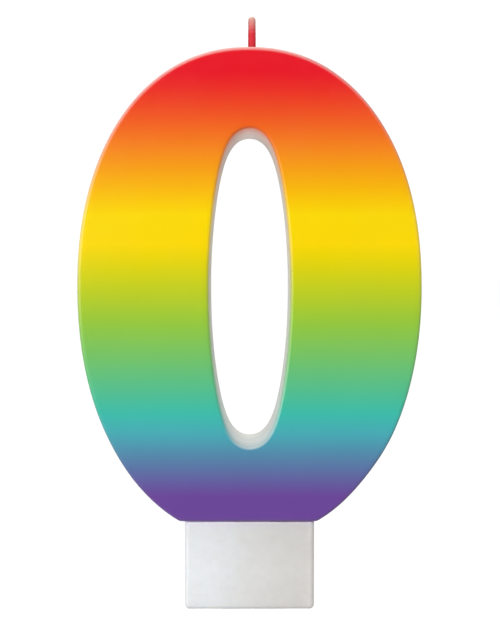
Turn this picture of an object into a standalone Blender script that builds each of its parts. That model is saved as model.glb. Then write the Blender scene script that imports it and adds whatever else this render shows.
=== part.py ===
"""Number birthday candle: a wax numeral 0 with a rainbow front layer, a white wax base block and a wick.

Frame: origin at the middle of the base block's underside, +Z up, the coloured front faces -Y, and X
runs across the numeral, to the right as seen from the front. Units are metres.
"""

import math

import bmesh
import bpy
from mathutils import Vector

MM = 0.001
GAP = 0.3 * MM

# Numeral outline: two half superellipses that meet at the widest level, cut flat at the foot.
NUMERAL_TOP = 133.35 * MM
FOOT_LEVEL = 20.85 * MM
WIDEST_LEVEL = 76.7 * MM
HALF_WIDTH = 40.85 * MM
UPPER_HEIGHT = NUMERAL_TOP - WIDEST_LEVEL
LOWER_HEIGHT = 60.0 * MM
UPPER_POWER = 2.17
LOWER_POWER = 2.13
OUTER_POINTS = 128

# The casting's lower flanks are a little slimmer, and its lower end sits a little to the left.
FLANK_SLIMMING = 0.011
FLANK_LEVEL = 28.0 * MM
FLANK_SPREAD = 9.0 * MM
FOOT_LEAN = 0.3 * MM
LEAN_START = 42.0 * MM
LEAN_FULL = 28.0 * MM

# Through hole: an ellipse with straighter sides and rounder ends; the end share is 0 in an ellipse.
HOLE_LEVEL = 76.3 * MM
HOLE_HALF_WIDTH = 9.78 * MM
HOLE_HALF_HEIGHT = 37.65 * MM
HOLE_END_SHARE = 0.16
HOLE_END_POWER = 14
HOLE_POINTS = 96

# Depth of the numeral, front to back.
THICKNESS = 15.0 * MM
FRONT_EDGE_RADIUS = 1.1 * MM
BACK_EDGE_RADIUS = 0.6 * MM
EDGE_STEPS = 2
FACE_THICKNESS = 1.3 * MM
FACE_BACK = -THICKNESS / 2 + FACE_THICKNESS
CORE_FRONT = FACE_BACK + GAP

# Base block and the tongue that seats in it.
BASE_WIDTH = 30.7 * MM
BASE_DEPTH = 14.4 * MM
BASE_HEIGHT = FOOT_LEVEL - GAP
BASE_EDGE_RADIUS = 1.2 * MM
BASE_RIM_RADIUS = 0.35 * MM
TONGUE_WIDTH = 20.0 * MM
TONGUE_DEPTH = 6.0 * MM
TONGUE_LENGTH = 8.0 * MM
TONGUE_ROOT = 4.0 * MM

# Wick.
WICK_SHIFT = 0.6 * MM
WICK_TIP = 142.65 * MM
BRAID_RADIUS = 0.4 * MM
CHANNEL_RADIUS = BRAID_RADIUS + GAP
WICK_BEND_LEVEL = 130.5 * MM
WICK_JOIN_ANGLE = math.radians(36)
WICK_SIDE_ANGLE = math.radians(90)
WICK_END_ANGLE = math.radians(140)
WICK_CURVE_STEPS = 12
COAT_RADIUS = 0.95 * MM
COAT_BORE_RADIUS = 0.6 * MM
COAT_TOP = WICK_TIP - 1.2 * MM
COAT_BOTTOM = NUMERAL_TOP + GAP

CUTTER_MARGIN = 5.0 * MM


def clear_scene():
    for obj in list(bpy.data.objects):
        bpy.data.objects.remove(obj)


def new_collection(name, hidden=False):
    collection = bpy.data.collections.new(name)
    collection.hide_render = hidden
    bpy.context.scene.collection.children.link(collection)
    return collection


def wax(name, color, roughness, subsurface):
    """A Principled BSDF for wax; subsurface is how much light passes into it."""
    material = bpy.data.materials.new(name)
    material.use_nodes = True
    shader = material.node_tree.nodes["Principled BSDF"]
    shader.inputs["Base Color"].default_value = (*color, 1)
    shader.inputs["Roughness"].default_value = roughness
    shader.inputs["Metallic"].default_value = 0
    shader.inputs["Subsurface Weight"].default_value = subsurface
    return material


def slimming(level):
    """The share of its half width that the outline keeps at this level."""
    return 1 - FLANK_SLIMMING * math.exp(-(((level - FLANK_LEVEL) / FLANK_SPREAD) ** 2))


def lean(level):
    """How far the outline is set to the left at this level."""
    share = min(1, max(0, (LEAN_START - level) / (LEAN_START - LEAN_FULL)))
    return FOOT_LEAN * share * share * (3 - 2 * share)


def outer_point(angle):
    """The outer outline at this angle from the top, clockwise seen from the front."""
    upper = math.cos(angle) > 0
    half_height = UPPER_HEIGHT if upper else LOWER_HEIGHT
    power = UPPER_POWER if upper else LOWER_POWER
    x = math.copysign(abs(math.sin(angle)) ** (2 / power), math.sin(angle))
    z = math.copysign(abs(math.cos(angle)) ** (2 / power), math.cos(angle))
    level = WIDEST_LEVEL + half_height * z
    return HALF_WIDTH * x * slimming(level) - lean(level), level


def hole_point(angle):
    """The hole's outline at this angle from its top, clockwise seen from the front."""
    height = math.cos(angle)
    ends = (1 - HOLE_END_SHARE) * height**2 + HOLE_END_SHARE * height**HOLE_END_POWER
    x = math.copysign(math.sqrt(max(0, 1 - ends)), math.sin(angle))
    return HOLE_HALF_WIDTH * x, HOLE_LEVEL + HOLE_HALF_HEIGHT * height


def foot_angle():
    """The angle at which the outer outline meets the flat foot."""
    drop = (WIDEST_LEVEL - FOOT_LEVEL) / LOWER_HEIGHT
    return math.acos(-(drop ** (LOWER_POWER / 2)))


def outer_outline():
    """From the foot's left corner over the top to its right corner; the foot itself closes the loop."""
    end = foot_angle()
    return [outer_point(end * (2 * i / OUTER_POINTS - 1)) for i in range(OUTER_POINTS + 1)]


def hole_outline():
    return [hole_point(math.tau * i / HOLE_POINTS) for i in range(HOLE_POINTS)]


def add_loop(curve, points):
    spline = curve.splines.new("POLY")
    spline.points.add(len(points) - 1)
    for point, (x, z) in zip(spline.points, points):
        point.co = (x, z, 0, 1)
    spline.use_cyclic_u = True


def mesh_from_curve(curve_object, name, collection):
    """Replaces a curve object by a mesh object with its caps welded on."""
    graph = bpy.context.evaluated_depsgraph_get()
    mesh = bpy.data.meshes.new_from_object(curve_object.evaluated_get(graph))
    weld = bmesh.new()
    weld.from_mesh(mesh)
    bmesh.ops.remove_doubles(weld, verts=weld.verts, dist=0.001 * MM)
    bmesh.ops.recalc_face_normals(weld, faces=weld.faces)
    weld.to_mesh(mesh)
    weld.free()
    place = curve_object.matrix_world.copy()
    bpy.data.objects.remove(curve_object)
    result = bpy.data.objects.new(name, mesh)
    result.matrix_world = place
    collection.objects.link(result)
    return result


def numeral_slab(name, edge_radius, collection):
    """The whole numeral as a plate with rounded front and back edges, standing in the XZ plane."""
    curve = bpy.data.curves.new(name, "CURVE")
    curve.dimensions = "2D"
    curve.fill_mode = "BOTH"
    curve.extrude = THICKNESS / 2 - edge_radius
    curve.bevel_depth = edge_radius
    curve.bevel_resolution = EDGE_STEPS
    curve.offset = -edge_radius
    add_loop(curve, outer_outline())
    add_loop(curve, hole_outline())
    plate = bpy.data.objects.new(name, curve)
    plate.rotation_euler.x = math.radians(90)
    collection.objects.link(plate)
    bpy.context.view_layer.update()
    return mesh_from_curve(plate, name, collection)


def block(name, low, high, collection):
    """A box between two opposite corners."""
    low, high = Vector(low), Vector(high)
    mesh = bpy.data.meshes.new(name)
    box = bmesh.new()
    bmesh.ops.create_cube(box, size=1)
    bmesh.ops.scale(box, vec=high - low, verts=box.verts)
    bmesh.ops.translate(box, vec=(low + high) / 2, verts=box.verts)
    box.to_mesh(mesh)
    box.free()
    result = bpy.data.objects.new(name, mesh)
    collection.objects.link(result)
    return result


def as_cutter(obj):
    obj.hide_render = True
    obj.display_type = "WIRE"
    return obj


def add_boolean(obj, other, operation):
    modifier = obj.modifiers.new(other.name, "BOOLEAN")
    modifier.operation = operation
    modifier.object = other


def smooth(obj):
    obj.data.shade_smooth()
    obj.data.set_sharp_from_angle(angle=math.radians(35))


def stroke_point(angle):
    """The middle of the numeral's stroke at this angle from the top."""
    outer, hole = outer_point(angle), hole_point(angle)
    return Vector(((outer[0] + hole[0]) / 2, 0, (outer[1] + hole[1]) / 2))


def stroke_direction(angle):
    step = math.radians(1)
    return (stroke_point(angle + step) - stroke_point(angle - step)).normalized()


def wick_route():
    """Bezier points of the wick: (place, direction, handle length)."""
    down = Vector((0, 0, -1))
    tip = Vector((WICK_SHIFT, 0, WICK_TIP))
    bend = Vector((WICK_SHIFT, 0, WICK_BEND_LEVEL))
    route = [(tip, down, 3 * MM), (bend, down, 4 * MM)]
    handles = {WICK_JOIN_ANGLE: 7 * MM, WICK_SIDE_ANGLE: 14 * MM, WICK_END_ANGLE: 12 * MM}
    for angle, handle in handles.items():
        route.append((stroke_point(angle), stroke_direction(angle), handle))
    return route


def wick_tube(name, radius, overrun, collection):
    """A tube along the wick's route, longer by overrun at both ends."""
    curve = bpy.data.curves.new(name, "CURVE")
    curve.dimensions = "3D"
    curve.bevel_depth = radius
    curve.bevel_resolution = 2
    curve.resolution_u = WICK_CURVE_STEPS
    curve.use_fill_caps = True
    route = wick_route()
    spline = curve.splines.new("BEZIER")
    spline.bezier_points.add(len(route) - 1)
    for point, (place, direction, handle) in zip(spline.bezier_points, route):
        point.co = place
        point.handle_left = place - direction * handle
        point.handle_right = place + direction * handle
    first, last = spline.bezier_points[0], spline.bezier_points[-1]
    for point, (_, direction, _), sign in ((first, route[0], -1), (last, route[-1], 1)):
        for attribute in ("co", "handle_left", "handle_right"):
            setattr(point, attribute, getattr(point, attribute) + sign * overrun * direction)
    tube = bpy.data.objects.new(name, curve)
    collection.objects.link(tube)
    bpy.context.view_layer.update()
    return mesh_from_curve(tube, name, collection)


def make_rainbow_face(parts, cutters):
    face = numeral_slab("rainbow_face", FRONT_EDGE_RADIUS, parts)
    rear = block(
        "behind_face",
        (-HALF_WIDTH - CUTTER_MARGIN, FACE_BACK, 0),
        (HALF_WIDTH + CUTTER_MARGIN, THICKNESS, NUMERAL_TOP + CUTTER_MARGIN),
        cutters,
    )
    add_boolean(face, as_cutter(rear), "DIFFERENCE")
    face.data.materials.append(wax("rainbow_wax", (0.93, 0.56, 0.03), 0.42, 0.1))
    smooth(face)


def make_numeral_core(parts, cutters):
    core = numeral_slab("numeral_core", BACK_EDGE_RADIUS, parts)
    front = block(
        "in_front_of_core",
        (-HALF_WIDTH - CUTTER_MARGIN, -THICKNESS, 0),
        (HALF_WIDTH + CUTTER_MARGIN, CORE_FRONT, NUMERAL_TOP + CUTTER_MARGIN),
        cutters,
    )
    tongue = block(
        "foot_tongue",
        (-TONGUE_WIDTH / 2, -TONGUE_DEPTH / 2, FOOT_LEVEL - TONGUE_LENGTH),
        (TONGUE_WIDTH / 2, TONGUE_DEPTH / 2, FOOT_LEVEL + TONGUE_ROOT),
        cutters,
    )
    channel = wick_tube("wick_channel", CHANNEL_RADIUS, GAP, cutters)
    add_boolean(core, as_cutter(front), "DIFFERENCE")
    add_boolean(core, as_cutter(tongue), "UNION")
    add_boolean(core, as_cutter(channel), "DIFFERENCE")
    core.data.materials.append(wax("white_wax", (0.80, 0.78, 0.75), 0.5, 0.3))
    smooth(core)


def round_edges(mesh, chosen, radius, steps):
    """Rounds the box edges for which chosen(edge) is true."""
    shape = bmesh.new()
    shape.from_mesh(mesh)
    edges = [edge for edge in shape.edges if chosen(edge)]
    bmesh.ops.bevel(shape, geom=edges, offset=radius, segments=steps, profile=0.5, affect="EDGES")
    shape.to_mesh(mesh)
    shape.free()


def make_cake_base(parts, cutters):
    base = block(
        "cake_base",
        (-BASE_WIDTH / 2, -BASE_DEPTH / 2, 0),
        (BASE_WIDTH / 2, BASE_DEPTH / 2, BASE_HEIGHT),
        parts,
    )

    def on_rim(edge):
        return all(vertex.co.z > BASE_HEIGHT - GAP for vertex in edge.verts)

    def square(edge):
        return edge.calc_face_angle() > math.radians(80)

    round_edges(base.data, lambda edge: not on_rim(edge), BASE_EDGE_RADIUS, 3)
    round_edges(base.data, lambda edge: on_rim(edge) and square(edge), BASE_RIM_RADIUS, 2)
    socket = block(
        "tongue_socket",
        (-TONGUE_WIDTH / 2 - GAP, -TONGUE_DEPTH / 2 - GAP, FOOT_LEVEL - TONGUE_LENGTH - GAP),
        (TONGUE_WIDTH / 2 + GAP, TONGUE_DEPTH / 2 + GAP, FOOT_LEVEL + CUTTER_MARGIN),
        cutters,
    )
    add_boolean(base, as_cutter(socket), "DIFFERENCE")
    base.data.materials.append(wax("base_wax", (0.72, 0.71, 0.70), 0.45, 0.4))
    smooth(base)


def make_wick_braid(parts):
    braid = wick_tube("wick_braid", BRAID_RADIUS, 0, parts)
    braid.data.materials.append(wax("wick_cotton", (0.74, 0.62, 0.53), 0.9, 0))
    smooth(braid)


def make_wick_wax(parts):
    """The coat's wall as a closed profile, turned about the wick."""
    profile = [
        (COAT_RADIUS, COAT_TOP - 0.4 * MM),
        (COAT_RADIUS, COAT_BOTTOM),
        (COAT_BORE_RADIUS, COAT_BOTTOM),
        (COAT_BORE_RADIUS, COAT_TOP),
        (COAT_RADIUS - 0.15 * MM, COAT_TOP - 0.1 * MM),
    ]
    mesh = bpy.data.meshes.new("wick_wax")
    mesh.from_pydata(
        [(radius, 0, level) for radius, level in profile],
        [(i, (i + 1) % len(profile)) for i in range(len(profile))],
        [],
    )
    coat = bpy.data.objects.new("wick_wax", mesh)
    coat.location.x = WICK_SHIFT
    parts.objects.link(coat)
    turn = coat.modifiers.new("turn", "SCREW")
    turn.steps = turn.render_steps = 24
    turn.use_merge_vertices = True
    turn.merge_threshold = 0.001 * MM
    turn.use_smooth_shade = True
    coat.data.materials.append(wax("wick_red_wax", (0.62, 0.06, 0.07), 0.5, 0.1))


def main():
    clear_scene()
    parts = new_collection("number_birthday_candle")
    cutters = new_collection("cutters", hidden=True)
    make_numeral_core(parts, cutters)
    make_rainbow_face(parts, cutters)
    make_cake_base(parts, cutters)
    make_wick_braid(parts)
    make_wick_wax(parts)


main()
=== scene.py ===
"""Looks of the number birthday candle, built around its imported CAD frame.

The numeral's white core and rainbow layer, the base block and the wick are fine meshes with wax and
cotton materials. The frame is in metres: +Z up, the coloured front faces -Y, +X to the right.
"""

import math

import bmesh
import bpy
import numpy as np
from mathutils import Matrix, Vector, noise


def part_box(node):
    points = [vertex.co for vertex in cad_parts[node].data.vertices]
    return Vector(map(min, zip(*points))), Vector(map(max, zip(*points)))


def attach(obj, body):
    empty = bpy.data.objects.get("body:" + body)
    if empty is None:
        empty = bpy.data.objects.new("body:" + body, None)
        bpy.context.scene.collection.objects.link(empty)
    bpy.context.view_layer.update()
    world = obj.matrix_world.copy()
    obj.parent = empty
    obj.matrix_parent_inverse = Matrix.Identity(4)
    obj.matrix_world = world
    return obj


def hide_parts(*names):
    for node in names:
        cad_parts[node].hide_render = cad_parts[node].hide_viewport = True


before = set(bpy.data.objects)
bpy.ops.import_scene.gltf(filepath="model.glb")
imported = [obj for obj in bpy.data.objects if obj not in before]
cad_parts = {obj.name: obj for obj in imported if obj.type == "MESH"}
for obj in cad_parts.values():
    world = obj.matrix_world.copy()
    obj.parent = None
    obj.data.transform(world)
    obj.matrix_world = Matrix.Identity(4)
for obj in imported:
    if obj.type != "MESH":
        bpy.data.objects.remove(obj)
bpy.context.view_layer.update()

MM = 0.001
GAP = 0.3 * MM
face_low, face_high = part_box("rainbow_face")
core_low, core_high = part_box("numeral_core")
base_low, base_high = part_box("cake_base")
coat_low, coat_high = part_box("wick_wax")
_, braid_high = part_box("wick_braid")

# Numeral: half superellipses outside, a hole with straighter sides than an ellipse, and a flat foot.
FRONT, FACE_BACK, BACK = face_low.y, face_high.y, core_high.y
TOP, FOOT, HALF_WIDTH = face_high.z, face_low.z, face_high.x
WIDEST_LEVEL = 76.7 * MM
LOWER_HEIGHT = 60.0 * MM
UPPER_POWER = 2.17
LOWER_POWER = 2.13
FLANK_SLIMMING = 0.011
FLANK_LEVEL = 28.0 * MM
FLANK_SPREAD = 9.0 * MM
FOOT_LEAN = 0.3 * MM
LEAN_START = 42.0 * MM
LEAN_FULL = 28.0 * MM
HOLE_LEVEL = 76.3 * MM
HOLE_HALF_WIDTH = 9.78 * MM
HOLE_HALF_HEIGHT = 37.65 * MM
HOLE_END_SHARE = 0.16
HOLE_END_POWER = 14
FOOT_SOFTNESS = 0.15 * MM
FRONT_RADIUS = 1.1 * MM
HOLE_FRONT_RADIUS = 0.75 * MM
BACK_RADIUS = 0.6 * MM
SQUARE_EDGE = 0.001 * MM
AROUND = 640
ARC_STEPS = 8

# Unevenness of the casting. The face and the core share it, and it fades out at the seam between them.
CAST_HEIGHT = 0.035 * MM
CAST_SIZE = 14 * MM
CAST_SEED = 1.7
SEAM_FADE = 0.6 * MM

# Hidden joint between the core and the base.
TONGUE_WIDTH = 20.0 * MM
TONGUE_DEPTH = 6.0 * MM
TONGUE_LENGTH = FOOT - core_low.z
TONGUE_ROOT = 4.0 * MM

# Base block. The rings across its flat ends lie this far in from the sides, as shares of half its depth.
BASE_END_RINGS = (0.8624, 0.686, 0.49, 0.294, 0.147)
BASE_EDGE_RADIUS = 1.2 * MM
BASE_RIM_RADIUS = 0.3 * MM
LEAST_CORNER_RADIUS = 0.1 * MM
BASE_WALL_ROWS = 42
BASE_SIDE_STEPS = (56, 24)

# Wick: a braid of eight strands, which follows the stroke down into the right-hand leg. WICK_TURNS are
# the places on the stroke that it passes, as degrees from the top and the length of the curve's handles.
WICK_X = (coat_low.x + coat_high.x) / 2
WICK_TIP = braid_high.z
WICK_TIP_HANDLE = 3 * MM
WICK_BEND_LEVEL = 130.5 * MM
WICK_BEND_HANDLE = 4 * MM
WICK_TURNS = ((36, 7 * MM), (90, 14 * MM), (140, 12 * MM))
WICK_CURVE_STEPS = 40
CHANNEL_RADIUS = 0.7 * MM
STRANDS = 8
STRAND_RADIUS = 0.17 * MM
STRAND_END = 0.45 * MM
BRAID_MIDDLE_RADIUS = 0.33 * MM
BRAID_WAVE = 0.11 * MM
BRAID_PITCH = 3.6 * MM

# Loose cotton ends at the wick's tip, each a turn of FIBRE_TURN radians on from the one before.
FIBRES = 40
FIBRE_TURN = 2.4
FIBRE_SPREAD = 0.5 * MM
FIBRE_ROOT = 1.0 * MM
FIBRE_HEIGHT = 0.85 * MM
FIBRE_UNEVENNESS = 0.25 * MM
FIBRE_LEAN = 0.22
FIBRE_RADII = (0.045 * MM, 0.02 * MM)
FIBRE_STEPS = 6

# Red coat on the wick.
COAT_RADIUS = (coat_high.x - coat_low.x) / 2
COAT_FOOT = TOP - 0.15 * MM
COAT_TIP = WICK_TIP - 0.12 * MM
COAT_TIP_SHARE = 0.93
COAT_TAPER = 7 * MM
COAT_ROUNDING = 0.8 * MM
COAT_END_SHARE = 0.45
COAT_LEAST_DOME = 0.02
COAT_FLARE = 0.22 * MM
COAT_FLARE_HEIGHT = 0.3 * MM
COAT_LUMPS = 0.02 * MM
COAT_SIDES = 48

# Studio.
BACKDROP = 1.05
SURROUND = 0.42
SURROUND_START = -0.98
SURROUND_FULL = -0.6
LIGHT_LEVEL = 75 * MM
LIGHT_DISTANCE = 1.8
FLOOR_HALF_SIZE = 20
FLOOR_DROP = 0.02 * MM

# Camera, level and straight in front of the numeral.
CAMERA_DISTANCE = 178 * MM
CAMERA_HEIGHT = 79.4 * MM
CAMERA_SIDE = 0.13 * MM
CAMERA_LENS = 43.47
CAMERA_SHIFT = -0.0609

# Dye colours as sRGB, and the heights in millimetres at which the face shows each of them.
RED = "E61728"
ORANGE = "F48520"
YELLOW = "FBD700"
GREEN = "94C640"
TEAL = "40BBA9"
BLUE = "4AABB4"
VIOLET = "6C4998"
RAINBOW = (
    (127.5, RED),
    (109.0, ORANGE),
    (93.5, YELLOW),
    (86.5, YELLOW),
    (68.0, GREEN),
    (46.5, TEAL),
    (42.0, BLUE),
    (27.0, VIOLET),
)
DISPLAY_GAMMA = 2.2

# How much of the face colour the wax shows, by depth behind the front, in millimetres: the dye in the face
# layer, and painted colour bleed in the white core behind it.
TINT = (
    (0.0, 1.0),
    (0.5, 0.92),
    (1.3, 0.7),
    (3.3, 0.48),
    (5.5, 0.32),
    (8.0, 0.2),
    (15.0, 0.07),
)

# Painted highlight: the face colour is paled towards white where the wax faces up and a little to the left,
# as light from there does on the rounded rims. This is the share of the colour that is kept, by how far the
# wax faces that way.
PAINTED_HIGHLIGHT_SIDE = (-0.25, 0, 0.95)
COLOUR_KEPT_UNDER_HIGHLIGHT = (
    (0.0, 1.0),
    (0.03, 1.0),
    (0.25, 0.78),
    (0.5, 0.6),
    (1.0, 0.52),
)


def srgb(code):
    """An sRGB hex code as RGBA values between 0 and 1."""
    return (*[int(code[i : i + 2], 16) / 255 for i in (0, 2, 4)], 1)


# ---------------------------------------------------------------- node helpers


class Nodes:
    """Short names for building one material's node tree."""

    def __init__(self, name):
        self.material = bpy.data.materials.new(name)
        self.material.use_nodes = True
        self.tree = self.material.node_tree
        self.shader = self.tree.nodes["Principled BSDF"]

    def add(self, kind, inputs=(), **settings):
        made = self.tree.nodes.new("ShaderNode" + kind)
        for name, value in settings.items():
            setattr(made, name, value)
        for name, value in dict(inputs).items():
            self.feed(made.inputs[name], value)
        return made

    def feed(self, socket, value):
        if isinstance(value, bpy.types.NodeSocket):
            self.tree.links.new(value, socket)
        else:
            socket.default_value = value

    def principled(self, **values):
        for name, value in values.items():
            self.feed(self.shader.inputs[name.replace("_", " ")], value)

    def place(self):
        return self.add("TexCoord").outputs["Object"]

    def axis(self, letter):
        return self.add("SeparateXYZ", {"Vector": self.place()}).outputs[letter]

    def facing(self, direction):
        """How far the surface faces this direction: 1 towards it, 0 side-on."""
        made = self.add("VectorMath", operation="DOT_PRODUCT")
        self.feed(made.inputs[0], self.add("TexCoord").outputs["Normal"])
        made.inputs[1].default_value = direction
        return made.outputs["Value"]

    def math(self, operation, a, b, clamp=False):
        made = self.add("Math", operation=operation, use_clamp=clamp)
        self.feed(made.inputs[0], a)
        self.feed(made.inputs[1], b)
        return made.outputs[0]

    def span(self, value, low, high):
        """value's place between low and high, as 0 to 1."""
        inputs = {"Value": value, "From Min": low, "From Max": high}
        return self.add("MapRange", inputs).outputs["Result"]

    def spread(self, value, low, high):
        """A value from 0 to 1 as one from low to high."""
        inputs = {"Value": value, "To Min": low, "To Max": high}
        return self.add("MapRange", inputs).outputs["Result"]

    def noise(self, size, detail=2.0, roughness=0.5, stretch=(1, 1, 1)):
        """Noise of features about size metres across, from 0 to 1."""
        scaled = self.add("VectorMath", operation="MULTIPLY")
        self.feed(scaled.inputs[0], self.place())
        scaled.inputs[1].default_value = [s / size for s in stretch]
        inputs = {"Vector": scaled.outputs[0], "Scale": 1, "Detail": detail, "Roughness": roughness}
        return self.add("TexNoise", inputs).outputs["Fac"]

    def wandering(self, value, waves, reach):
        """A value moved up or down by noise, by up to half of reach, and kept between 0 and 1."""
        shift = self.math("MULTIPLY", self.math("SUBTRACT", waves, 0.5), reach)
        return self.math("ADD", value, shift, clamp=True)

    def ramp(self, value, stops):
        """Colours or greys by value; stops are (position, RGBA colour or grey)."""
        made = self.add("ValToRGB", {"Fac": value})
        elements = made.color_ramp.elements
        while len(elements) < len(stops):
            elements.new(0.5)
        for element, (position, color) in zip(elements, sorted(stops)):
            element.position = position
            element.color = color if hasattr(color, "__len__") else (color, color, color, 1)
        return made.outputs["Color"]

    def display_ramp(self, value, stops):
        """A ramp between sRGB hex codes that runs evenly as the eye sees it."""
        shown = self.ramp(value, [(position, srgb(code)) for position, code in stops])
        return self.add("Gamma", {"Color": shown, "Gamma": DISPLAY_GAMMA}).outputs["Color"]

    def mix(self, share, a, b, blend="MIX"):
        made = self.add("Mix", data_type="RGBA", blend_type=blend)
        for name, value in (("Factor_Float", share), ("A_Color", a), ("B_Color", b)):
            self.feed(next(s for s in made.inputs if s.identifier == name), value)
        return next(s for s in made.outputs if s.identifier == "Result_Color")

    def times(self, a, b):
        return self.mix(1.0, a, b, "MULTIPLY")

    def bump(self, height, distance, below=None):
        inputs = {"Height": height, "Distance": distance}
        if below is not None:
            inputs["Normal"] = below
        return self.add("Bump", inputs).outputs["Normal"]


# ---------------------------------------------------------------- materials


def rainbow_color(nodes):
    """The face colour at each height."""
    low, high = RAINBOW[-1][0], RAINBOW[0][0]
    share = nodes.span(nodes.axis("Z"), low * MM, high * MM)
    return nodes.display_ramp(share, [((z - low) / (high - low), code) for z, code in RAINBOW])


def tinted_wax(nodes, white):
    """White wax with the face colour: dye near the front, painted colour bleed deeper in, paled by a painted
    highlight on rims facing up and left.
    """
    deepest = TINT[-1][0]
    depth = nodes.span(nodes.axis("Y"), FRONT, FRONT + deepest * MM)
    # Behind the face layer this is painted colour bleed, the face colour that light carries into the wax, not
    # dye.
    dye_and_painted_bleed = nodes.ramp(depth, [(d / deepest, share) for d, share in TINT])
    # Paled towards white on rims that face up and left: a painted highlight.
    tint = nodes.math("MULTIPLY", dye_and_painted_bleed, nodes.ramp(nodes.facing(PAINTED_HIGHLIGHT_SIDE), COLOUR_KEPT_UNDER_HIGHLIGHT))
    return nodes.mix(tint, white, rainbow_color(nodes))


def white_wax(nodes):
    """Paraffin white, in soft clouds between two close shades."""
    cloud = nodes.ramp(nodes.noise(9 * MM, detail=3), [(0.35, 0.0), (0.7, 1.0)])
    return nodes.mix(cloud, (0.80, 0.78, 0.755, 1), (0.84, 0.825, 0.80, 1))


def wax_finish(nodes, color, roughness, subsurface, scale):
    """Satin wax: soft undulation, fine grain and light that spreads under the surface."""
    grain = nodes.bump(nodes.noise(0.5 * MM, detail=4, roughness=0.6), 0.012 * MM)
    cast = nodes.bump(nodes.noise(5 * MM, detail=2), 0.05 * MM, below=grain)
    patches = nodes.noise(3 * MM, detail=4)
    nodes.principled(
        Base_Color=color,
        Roughness=nodes.spread(patches, roughness - 0.05, roughness + 0.06),
        IOR=1.44,
        Subsurface_Weight=subsurface,
        Subsurface_Radius=(1.0, 0.8, 0.6),
        Subsurface_Scale=scale,
        Normal=cast,
    )
    return nodes.material


def rainbow_material():
    """Dyed wax over a slightly yellower white, with faint clouds."""
    nodes = Nodes("rainbow_wax")
    cloud = nodes.spread(nodes.noise(12 * MM, detail=3), 0.975, 1.02)
    under = nodes.times(white_wax(nodes), (0.96, 0.93, 0.86, 1))
    color = nodes.times(tinted_wax(nodes, under), cloud)
    nodes.principled(Specular_IOR_Level=0.35)
    return wax_finish(nodes, color, roughness=0.3, subsurface=0.06, scale=0.6 * MM)


def core_material():
    """White wax with faint casting lines that run round the walls."""
    nodes = Nodes("white_wax")
    streaks = nodes.noise(1.6 * MM, detail=2, stretch=(0.07, 1, 0.07))
    lines = nodes.ramp(streaks, [(0.35, 0.92), (0.65, 1.03)])
    color = tinted_wax(nodes, nodes.times(white_wax(nodes), lines))
    return wax_finish(nodes, color, roughness=0.42, subsurface=0.25, scale=2.5 * MM)


def base_material():
    """Clearer wax than the numeral's, with painted light from the left: light and cool at the left, warmer
    and greyer to the right, and lighter again along the right-hand edge.

    It is a little darker at both ends of its height: painted shade under the numeral's foot at the top,
    darker towards the bottom, and a painted violet reflection of the foot along its top.
    """
    nodes = Nodes("base_wax")
    across = nodes.span(nodes.axis("X"), base_low.x, base_high.x)
    # Painted light and shade: lit from the left, shaded towards the right, with painted light along the
    # right-hand edge.
    shades = (
        (0.0, (0.84, 0.865, 0.88, 1)),
        (0.2, (0.835, 0.855, 0.875, 1)),
        (0.45, (0.765, 0.765, 0.76, 1)),
        (0.75, (0.71, 0.70, 0.675, 1)),
        (0.93, (0.70, 0.685, 0.66, 1)),
        (1.0, (0.765, 0.74, 0.715, 1)),
    )
    color = nodes.ramp(nodes.wandering(across, nodes.noise(5 * MM, detail=4), 0.22), shades)
    flecks = nodes.noise(1.6 * MM, detail=5, roughness=0.65)
    flecked = nodes.times(color, nodes.ramp(flecks, [(0.3, 0.965), (0.7, 1.02)]))
    # Painted shade under the numeral's foot at the top, darker towards the bottom, and a painted violet
    # reflection of the foot at the very top.
    painted_shade_and_reflection = (
        (0.0, 0.94),
        (0.15, 0.975),
        (0.45, 1.0),
        (0.72, 0.965),
        (0.92, 0.935),
        (1.0, (0.935, 0.895, 0.955, 1)),
    )
    up = nodes.span(nodes.axis("Z"), base_low.z, base_high.z)
    shaded = nodes.times(flecked, nodes.ramp(up, painted_shade_and_reflection))
    return wax_finish(nodes, shaded, roughness=0.38, subsurface=0.3, scale=3 * MM)


def cotton_material():
    """Waxed cotton: pale, with fine lengthwise fibres."""
    nodes = Nodes("wick_cotton")
    fibres = nodes.noise(0.08 * MM, detail=3, stretch=(1, 1, 0.12))
    color = nodes.ramp(fibres, [(0.3, (0.62, 0.46, 0.40, 1)), (0.7, (0.80, 0.66, 0.58, 1))])
    nodes.principled(Base_Color=color, Roughness=0.8, Normal=nodes.bump(fibres, 0.03 * MM))
    return nodes.material


def coat_material():
    """Red wax with painted shade on its left side and at its foot, that thins to the pale cotton at the tip.
    """
    nodes = Nodes("wick_red_wax")
    # The darker red at the foot is a painted shadow where the wick meets the numeral.
    shades = (
        (0.0, "AE222C"),
        (0.1, "C92B36"),
        (0.5, "DC2D3A"),
        (0.97, "DCB2A3"),
    )
    up = nodes.span(nodes.axis("Z"), TOP, WICK_TIP)
    color = nodes.display_ramp(nodes.wandering(up, nodes.noise(0.5 * MM), 0.06), shades)
    # Painted shade: the side that faces left is darker.
    painted_left_shade = nodes.ramp(nodes.facing((-1, 0, 0)), [(0.0, 1.0), (0.3, 0.97), (1.0, 0.7)])
    weave = nodes.noise(0.35 * MM, detail=4)
    nodes.principled(
        Base_Color=nodes.times(color, painted_left_shade),
        Roughness=0.6,
        Specular_IOR_Level=0.25,
        Subsurface_Weight=0.1,
        Subsurface_Radius=(1.0, 0.4, 0.3),
        Subsurface_Scale=0.3 * MM,
        Normal=nodes.bump(weave, 0.04 * MM),
    )
    return nodes.material


# ---------------------------------------------------------------- mesh helpers


def new_object(name, data):
    made = bpy.data.objects.new(name, data)
    bpy.context.scene.collection.objects.link(made)
    return made


def new_piece(name, mesh, material):
    piece = new_object(name, mesh)
    mesh.materials.clear()
    mesh.materials.append(material)
    return piece


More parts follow.
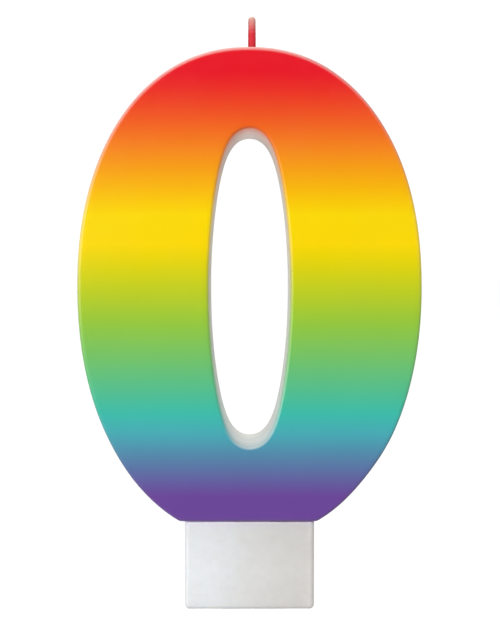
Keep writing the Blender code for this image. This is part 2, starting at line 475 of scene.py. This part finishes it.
def loft(name, loops, closed):
    """A mesh of quads between loops of points; it is a ring when closed, and capped at both ends when not."""
    count, around = len(loops), len(loops[0])
    index = np.arange(count * around).reshape(count, around)
    faces = []
    for i in range(count if closed else count - 1):
        low, high = index[i], index[(i + 1) % count]
        strip = np.stack([low, np.roll(low, -1), np.roll(high, -1), high], 1)
        faces.extend(strip.tolist())
    if not closed:
        faces.append(index[0][::-1].tolist())
        faces.append(index[-1].tolist())
    mesh = bpy.data.meshes.new(name)
    mesh.from_pydata(np.concatenate(loops).tolist(), [], faces)
    shape = bmesh.new()
    shape.from_mesh(mesh)
    bmesh.ops.recalc_face_normals(shape, faces=shape.faces)
    shape.to_mesh(mesh)
    shape.free()
    mesh.shade_smooth()
    return mesh


def undulate(mesh, height, size, seed, still_y=None):
    """Moves each point along its normal by smooth noise, as cast and cooled wax does.

    The plane y = still_y, if there is one, stays as it is, so that two pieces meet there without a gap.
    """
    shift = Vector((seed, 2 * seed, 3 * seed))
    points = np.empty(len(mesh.vertices) * 3, np.float32)
    mesh.vertices.foreach_get("co", points)
    points = points.reshape(-1, 3)
    normals = np.empty(points.size, np.float32)
    mesh.vertex_normals.foreach_get("vector", normals)
    waves = np.array([noise.noise(Vector(point) / size + shift) for point in points])
    if still_y is not None:
        waves *= np.clip(np.abs(points[:, 1] - still_y) / SEAM_FADE, 0, 1)
    points += normals.reshape(-1, 3) * (height * waves)[:, None]
    mesh.vertices.foreach_set("co", points.ravel())
    mesh.update()


def combine(piece, other, operation):
    """Joins or cuts piece by other with an exact Boolean, and removes other."""
    modifier = piece.modifiers.new(other.name, "BOOLEAN")
    modifier.operation = operation
    modifier.object = other
    graph = bpy.context.evaluated_depsgraph_get()
    mesh = bpy.data.meshes.new_from_object(piece.evaluated_get(graph))
    piece.modifiers.clear()
    piece.data = mesh
    bpy.data.objects.remove(other)


def foot_block(name, gap):
    """The tongue under the numeral's foot, larger by gap at its sides and lower end."""
    half_x, half_y = TONGUE_WIDTH / 2 + gap, TONGUE_DEPTH / 2 + gap
    low = Vector((-half_x, -half_y, FOOT - TONGUE_LENGTH - gap))
    high = Vector((half_x, half_y, FOOT + TONGUE_ROOT))
    mesh = bpy.data.meshes.new(name)
    shape = bmesh.new()
    bmesh.ops.create_cube(shape, size=1)
    bmesh.ops.scale(shape, vec=high - low, verts=shape.verts)
    bmesh.ops.translate(shape, vec=(high + low) / 2, verts=shape.verts)
    shape.to_mesh(mesh)
    shape.free()
    return new_object(name, mesh)


def finish_piece(piece, node):
    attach(piece, "root")
    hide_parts(node)


# ---------------------------------------------------------------- numeral


def signed_power(values, power):
    return np.sign(values) * np.abs(values) ** power


def turns():
    return np.arange(AROUND) * math.tau / AROUND


def outer_outline():
    """Points (x, z) clockwise from the top, with the part below the foot flattened onto it."""
    turn = turns()
    upper = np.cos(turn) > 0
    power = np.where(upper, UPPER_POWER, LOWER_POWER)
    height = np.where(upper, TOP - WIDEST_LEVEL, LOWER_HEIGHT)
    x = HALF_WIDTH * signed_power(np.sin(turn), 2 / power)
    z = WIDEST_LEVEL + height * signed_power(np.cos(turn), 2 / power)
    x *= 1 - FLANK_SLIMMING * np.exp(-(((z - FLANK_LEVEL) / FLANK_SPREAD) ** 2))
    lean = np.clip((LEAN_START - z) / (LEAN_START - LEAN_FULL), 0, 1)
    x -= FOOT_LEAN * lean * lean * (3 - 2 * lean)
    above = z - FOOT
    return np.stack([x, FOOT + (above + np.hypot(above, FOOT_SOFTNESS)) / 2], 1)


def hole_outline():
    """Points (x, z) clockwise from the hole's top."""
    turn = turns()
    height = np.cos(turn)
    ends = (1 - HOLE_END_SHARE) * height**2 + HOLE_END_SHARE * height**HOLE_END_POWER
    x = HOLE_HALF_WIDTH * np.sign(np.sin(turn)) * np.sqrt(np.clip(1 - ends, 0, 1))
    return np.stack([x, HOLE_LEVEL + HOLE_HALF_HEIGHT * height], 1)


def outward(points):
    """Unit normals of a clockwise outline, pointing out of it."""
    along = np.roll(points, -1, 0) - np.roll(points, 1, 0)
    normals = np.stack([-along[:, 1], along[:, 0]], 1)
    return normals / np.linalg.norm(normals, axis=1)[:, None]


def quarter(radius):
    """(inset, depth) along a rounded edge, from the side wall to the face."""
    angles = np.linspace(0, math.pi / 2, ARC_STEPS + 1)
    return [(radius * (1 - math.cos(a)), radius * (1 - math.sin(a))) for a in angles]


def ring_rows(front, back, front_radii, back_radius, wall_rows, front_rows, back_rows):
    """(share from hole to outside, inset from the edge, y) once around the numeral's cross-section.

    front_radii are the front edges' radii at the hole and at the outside.
    """
    hole_radius, outer_radius = front_radii
    hole_arc, outer_arc, back_arc = quarter(hole_radius), quarter(outer_radius), quarter(back_radius)
    rows = [(0, 0, y) for y in np.linspace(back - back_radius, front + hole_radius, wall_rows + 1)[:-1]]
    rows += [(0, inset, front + depth) for inset, depth in hole_arc]
    for share in np.linspace(0, 1, front_rows + 1)[1:-1]:
        rows.append((share, hole_radius * (1 - share) + outer_radius * share, front))
    rows += [(1, inset, front + depth) for inset, depth in reversed(outer_arc)]
    rows += [(1, 0, y) for y in np.linspace(front + outer_radius, back - back_radius, wall_rows + 1)[1:]]
    rows += [(1, inset, back - depth) for inset, depth in back_arc[1:]]
    rows += [(share, back_radius, back) for share in np.linspace(1, 0, back_rows + 1)[1:-1]]
    rows += [(0, inset, back - depth) for inset, depth in back_arc[:0:-1]]
    return rows


def ring_mesh(name, rows):
    """The numeral's ring through these rows, with the casting's unevenness."""
    outer, hole = outer_outline(), hole_outline()
    outer_normal, hole_normal = outward(outer), outward(hole)
    loops = []
    for share, inset, y in rows:
        flat = (hole + hole_normal * inset) * (1 - share) + (outer - outer_normal * inset) * share
        loops.append(np.stack([flat[:, 0], np.full(AROUND, y), flat[:, 1]], 1))
    mesh = loft(name, loops, closed=True)
    undulate(mesh, CAST_HEIGHT, CAST_SIZE, CAST_SEED, still_y=FACE_BACK)
    return mesh


def make_face():
    radii = (HOLE_FRONT_RADIUS, FRONT_RADIUS)
    rows = ring_rows(FRONT, FACE_BACK, radii, SQUARE_EDGE, wall_rows=2, front_rows=40, back_rows=8)
    piece = new_piece("rainbow_face_wax", ring_mesh("rainbow_face_wax", rows), rainbow_material())
    finish_piece(piece, "rainbow_face")


def make_core():
    radii = (SQUARE_EDGE, SQUARE_EDGE)
    rows = ring_rows(FACE_BACK, BACK, radii, BACK_RADIUS, wall_rows=18, front_rows=8, back_rows=36)
    piece = new_piece("numeral_core_wax", ring_mesh("numeral_core_wax", rows), core_material())
    combine(piece, foot_block("tongue", 0), "UNION")
    combine(piece, wick_tube("wick_channel", CHANNEL_RADIUS, GAP), "DIFFERENCE")
    finish_piece(piece, "numeral_core")


# ---------------------------------------------------------------- base block


def rounded_rectangle(half_x, half_y, radius):
    """Points (x, y) anticlockwise: each corner's arc, then the side up to the next corner."""
    arcs = []
    for number, (sx, sy) in enumerate(((1, 1), (-1, 1), (-1, -1), (1, -1))):
        middle = np.array([sx * (half_x - radius), sy * (half_y - radius)])
        angles = number * math.pi / 2 + np.linspace(0, math.pi / 2, ARC_STEPS + 1)
        arcs.append(middle + radius * np.stack([np.cos(angles), np.sin(angles)], 1))
    runs = []
    for number, arc in enumerate(arcs):
        steps = BASE_SIDE_STEPS[number % 2]
        shares = np.arange(1, steps)[:, None] / steps
        following = arcs[(number + 1) % len(arcs)]
        runs += [arc, arc[-1] + (following[0] - arc[-1]) * shares]
    return np.concatenate(runs)


def base_rows(half_depth):
    """(inset from the sides, z) from the middle of the underside, up the walls, to the middle of the top."""
    low, high = base_low.z, base_high.z + GAP
    insets = [share * half_depth for share in BASE_END_RINGS]
    walls = np.linspace(low + BASE_EDGE_RADIUS, high - BASE_RIM_RADIUS, BASE_WALL_ROWS)[1:-1]
    rows = [(inset, low) for inset in insets]
    rows += [(inset, low + depth) for inset, depth in reversed(quarter(BASE_EDGE_RADIUS))]
    rows += [(0, z) for z in walls]
    rows += [(inset, high - depth) for inset, depth in quarter(BASE_RIM_RADIUS)]
    rows += [(inset, high) for inset in reversed(insets)]
    return rows


def make_base():
    half_x, half_y = (base_high.x - base_low.x) / 2, (base_high.y - base_low.y) / 2
    loops = []
    for inset, z in base_rows(half_y):
        radius = max(BASE_EDGE_RADIUS - inset, LEAST_CORNER_RADIUS)
        flat = rounded_rectangle(half_x - inset, half_y - inset, radius)
        loops.append(np.column_stack([flat, np.full(len(flat), z)]))
    mesh = loft("cake_base_wax", loops, closed=False)
    undulate(mesh, height=0.05 * MM, size=7 * MM, seed=4.1)
    piece = new_piece("cake_base_wax", mesh, base_material())
    combine(piece, foot_block("socket", GAP), "DIFFERENCE")
    finish_piece(piece, "cake_base")


# ---------------------------------------------------------------- wick


def stroke_point(angle):
    """The middle of the numeral's stroke at this angle from the top."""
    turn = round(angle / math.tau * AROUND) % AROUND
    x, z = (outer_outline()[turn] + hole_outline()[turn]) / 2
    return Vector((x, 0, z))


def bezier(p0, p1, p2, p3, t):
    return p0 * (1 - t) ** 3 + p1 * 3 * t * (1 - t) ** 2 + p2 * 3 * t * t * (1 - t) + p3 * t**3


def wick_curve():
    """Points of the wick's middle line, from the tip down into the right-hand leg."""
    down = Vector((0, 0, -1))
    tip = Vector((WICK_X, 0, WICK_TIP))
    bend = Vector((WICK_X, 0, WICK_BEND_LEVEL))
    anchors = [(tip, down, WICK_TIP_HANDLE), (bend, down, WICK_BEND_HANDLE)]
    step = math.radians(1.5)
    for degrees, handle in WICK_TURNS:
        angle = math.radians(degrees)
        direction = (stroke_point(angle + step) - stroke_point(angle - step)).normalized()
        anchors.append((stroke_point(angle), direction, handle))
    line = []
    for (start, leaving, reach), (end, arriving, pull) in zip(anchors, anchors[1:]):
        p1, p2 = start + leaving * reach, end - arriving * pull
        line += [bezier(start, p1, p2, end, i / WICK_CURVE_STEPS) for i in range(WICK_CURVE_STEPS)]
    return line + [anchors[-1][0]]


def even_line(points, step):
    """The same line with points about step apart, and how far along it each of them is."""
    points = np.array([tuple(p) for p in points])
    lengths = np.concatenate([[0], np.cumsum(np.linalg.norm(np.diff(points, axis=0), axis=1))])
    places = np.linspace(0, lengths[-1], int(lengths[-1] / step) + 1)
    line = np.stack([np.interp(places, lengths, points[:, i]) for i in range(3)], 1)
    return line, places


def cross_axes(line):
    """Two unit vectors across a line at each of its points."""
    along = np.gradient(line, axis=0)
    along /= np.linalg.norm(along, axis=1)[:, None]
    side = np.cross(along, np.array([0.0, 1.0, 0.0]))
    side /= np.linalg.norm(side, axis=1)[:, None]
    return side, np.cross(side, along)


def tube_loops(line, radii, sides):
    """Rings of points around a line that never runs along Y."""
    side, other = cross_axes(line)
    angles = np.arange(sides) * math.tau / sides
    ring = np.cos(angles)[None, :, None] * side[:, None] + np.sin(angles)[None, :, None] * other[:, None]
    return list(line[:, None] + ring * np.asarray(radii)[:, None, None])


def wick_tube(name, radius, overrun):
    """A tube along the wick's line, longer by overrun at both ends."""
    line, _ = even_line(wick_curve(), 1.0 * MM)
    line[0, 2] += overrun
    line[-1] += (line[-1] - line[-2]) / np.linalg.norm(line[-1] - line[-2]) * overrun
    loops = tube_loops(line, np.full(len(line), radius), sides=24)
    return new_object(name, loft(name, loops, closed=False))


def strand_line(number, line, places):
    """One strand: half of them wind each way, going over and under the others."""
    way = 1 if number % 2 else -1
    start = math.tau * (number // 2) / (STRANDS / 2)
    winding = places * math.tau / BRAID_PITCH
    turn = start + way * winding
    crossing = winding * (STRANDS / 2) + (0 if way > 0 else math.pi)
    radius = BRAID_MIDDLE_RADIUS + BRAID_WAVE * np.cos(crossing)
    side, other = cross_axes(line)
    return line + radius[:, None] * (np.cos(turn)[:, None] * side + np.sin(turn)[:, None] * other)


def merged(meshes, name):
    """Several meshes as one."""
    whole = bmesh.new()
    for mesh in meshes:
        whole.from_mesh(mesh)
        bpy.data.meshes.remove(mesh)
    result = bpy.data.meshes.new(name)
    whole.to_mesh(result)
    whole.free()
    result.shade_smooth()
    return result


def tip_fibres():
    """Loose cotton ends that stand a little out of the tip, each of its own length and lean."""
    share = np.linspace(0, 1, FIBRE_STEPS)[:, None]
    radii = np.linspace(*FIBRE_RADII, FIBRE_STEPS)
    made = []
    for number in range(FIBRES):
        angle = number * FIBRE_TURN
        reach = FIBRE_SPREAD * math.sqrt((number + 0.5) / FIBRES)
        lean = FIBRE_LEAN * math.sin(number * 1.7)
        height = FIBRE_HEIGHT + FIBRE_UNEVENNESS * math.sin(number * 3.1)
        x, y = WICK_X + reach * math.cos(angle), reach * math.sin(angle)
        foot = np.array([x, y, WICK_TIP - FIBRE_ROOT])
        push = np.array([math.cos(angle + lean), math.sin(angle + lean), 0]) * lean * FIBRE_SPREAD
        line = foot + share * np.array([0, 0, height]) + share**2 * push
        made.append(loft(f"fibre_{number}", tube_loops(line, radii, sides=5), closed=False))
    return made


def make_braid():
    """The strands end just under the tip, where the loose fibres carry on."""
    line, places = even_line(wick_curve(), 0.2 * MM)
    kept = places > STRAND_END
    meshes = []
    for number in range(STRANDS):
        strand = strand_line(number, line, places)[kept]
        radii = np.full(len(strand), STRAND_RADIUS)
        meshes.append(loft(f"strand_{number}", tube_loops(strand, radii, sides=6), closed=False))
    mesh = merged(meshes + tip_fibres(), "wick_braid_cotton")
    piece = new_piece("wick_braid_cotton", mesh, cotton_material())
    finish_piece(piece, "wick_braid")


def coat_heights():
    """Heights of the coat's rings, closer together where the tip rounds off."""
    straight = np.linspace(COAT_FOOT, COAT_TIP - COAT_ROUNDING, 90)
    turn = np.linspace(0, math.pi / 2, 12)[1:]
    return np.concatenate([straight, COAT_TIP - COAT_ROUNDING * (1 - np.sin(turn))])


def coat_radius(z):
    """The coat narrows towards the tip, rounds off there and flares where it meets the numeral."""
    below_tip = COAT_TIP - z
    share = min(1.0, below_tip / COAT_TAPER)
    radius = COAT_RADIUS * (COAT_TIP_SHARE + (1 - COAT_TIP_SHARE) * share)
    if below_tip < COAT_ROUNDING:
        dome = math.sqrt(max(COAT_LEAST_DOME, 1 - (1 - below_tip / COAT_ROUNDING) ** 2))
        radius *= COAT_END_SHARE + (1 - COAT_END_SHARE) * dome
    return radius + COAT_FLARE * math.exp(-(z - COAT_FOOT) / COAT_FLARE_HEIGHT)


def make_coat():
    """A skin of wax that follows the strands under it in faint lumps."""
    angles = np.arange(COAT_SIDES) * math.tau / COAT_SIDES
    loops = []
    for z in coat_heights():
        turn = z * math.tau / BRAID_PITCH
        lumps = COAT_LUMPS * np.cos(2 * (angles - turn)) * np.cos(2 * (angles + turn))
        radii = coat_radius(z) + lumps
        x, y = WICK_X + radii * np.cos(angles), radii * np.sin(angles)
        loops.append(np.column_stack([x, y, np.full(COAT_SIDES, z)]))
    mesh = loft("wick_red_coat", loops, closed=False)
    undulate(mesh, height=0.03 * MM, size=0.8 * MM, seed=2.3)
    piece = new_piece("wick_red_coat", mesh, coat_material())
    finish_piece(piece, "wick_wax")


# ---------------------------------------------------------------- studio


def make_floor():
    """A white floor that shows no shadow and sends no light up onto the candle."""
    mesh = bpy.data.meshes.new("floor")
    shape = bmesh.new()
    bmesh.ops.create_grid(shape, x_segments=1, y_segments=1, size=FLOOR_HALF_SIZE)
    shape.to_mesh(mesh)
    shape.free()
    nodes = Nodes("floor")
    nodes.principled(Base_Color=(0.08, 0.08, 0.08, 1), Roughness=1, Specular_IOR_Level=0)
    nodes.principled(Emission_Color=(1, 1, 1, 1), Emission_Strength=0.98)
    floor = new_piece("floor", mesh, nodes.material)
    floor.location.z = -FLOOR_DROP
    floor.visible_diffuse = False
    floor.visible_glossy = False
    floor.visible_shadow = False


def make_world():
    """White where the camera looks; on the candle, even light that leaves out the side behind the camera."""
    world = bpy.data.worlds.new("studio")
    world.use_nodes = True
    bpy.context.scene.world = world
    tree = world.node_tree
    direction = tree.nodes.new("ShaderNodeTexCoord").outputs["Generated"]
    split = tree.nodes.new("ShaderNodeSeparateXYZ")
    surround = tree.nodes.new("ShaderNodeMapRange")
    surround.interpolation_type = "SMOOTHSTEP"
    surround.inputs["From Min"].default_value = SURROUND_START
    surround.inputs["From Max"].default_value = SURROUND_FULL
    surround.inputs["To Max"].default_value = SURROUND
    seen = tree.nodes.new("ShaderNodeLightPath").outputs["Is Camera Ray"]
    strength = tree.nodes.new("ShaderNodeMix")
    strength.inputs["B"].default_value = BACKDROP
    tree.links.new(direction, split.inputs["Vector"])
    tree.links.new(split.outputs["Y"], surround.inputs["Value"])
    tree.links.new(seen, strength.inputs["Factor"])
    tree.links.new(surround.outputs["Result"], strength.inputs["A"])
    background = tree.nodes["Background"]
    background.inputs["Color"].default_value = (1, 1, 1, 1)
    tree.links.new(strength.outputs["Result"], background.inputs["Strength"])


def area_light(name, direction, size, power):
    """A soft box that faces the candle from this direction."""
    direction = Vector(direction).normalized()
    light = bpy.data.lights.new(name, "AREA")
    light.shape = "RECTANGLE"
    light.size, light.size_y = size
    light.energy = power
    lamp = new_object(name, light)
    lamp.location = Vector((0, 0, LIGHT_LEVEL)) + direction * LIGHT_DISTANCE
    lamp.rotation_euler = (-direction).to_track_quat("-Z", "Y").to_euler()


def make_lights():
    """Soft light from several sides, strongest from the left and from above."""
    area_light("front_left", (-0.7, -0.7, 0.1), (1.2, 1.2), 18)
    area_light("front_right", (0.7, -0.7, 0.15), (1.2, 1.2), 4)
    area_light("high_front", (0, -0.7, 0.7), (1.6, 0.8), 15.5)
    area_light("low_front", (0, -0.7, -0.7), (1.6, 0.8), 2)
    area_light("overhead", (-0.1, 0.3, 0.95), (1.6, 1.0), 11.5)
    area_light("from_below", (-0.1, 0.7, -0.7), (1.6, 1.2), 11)


def make_camera():
    data = bpy.data.cameras.new("camera")
    data.lens = CAMERA_LENS
    data.sensor_width = 36
    data.shift_y = CAMERA_SHIFT
    data.clip_start = 0.01
    camera = new_object("camera", data)
    camera.location = (CAMERA_SIDE, FRONT - CAMERA_DISTANCE, CAMERA_HEIGHT)
    camera.rotation_euler = (math.pi / 2, 0, 0)
    bpy.context.scene.camera = camera


def main():
    bpy.context.scene.view_settings.view_transform = "Standard"
    make_camera()
    make_face()
    make_core()
    make_base()
    make_braid()
    make_coat()
    make_floor()
    make_world()
    make_lights()


main()
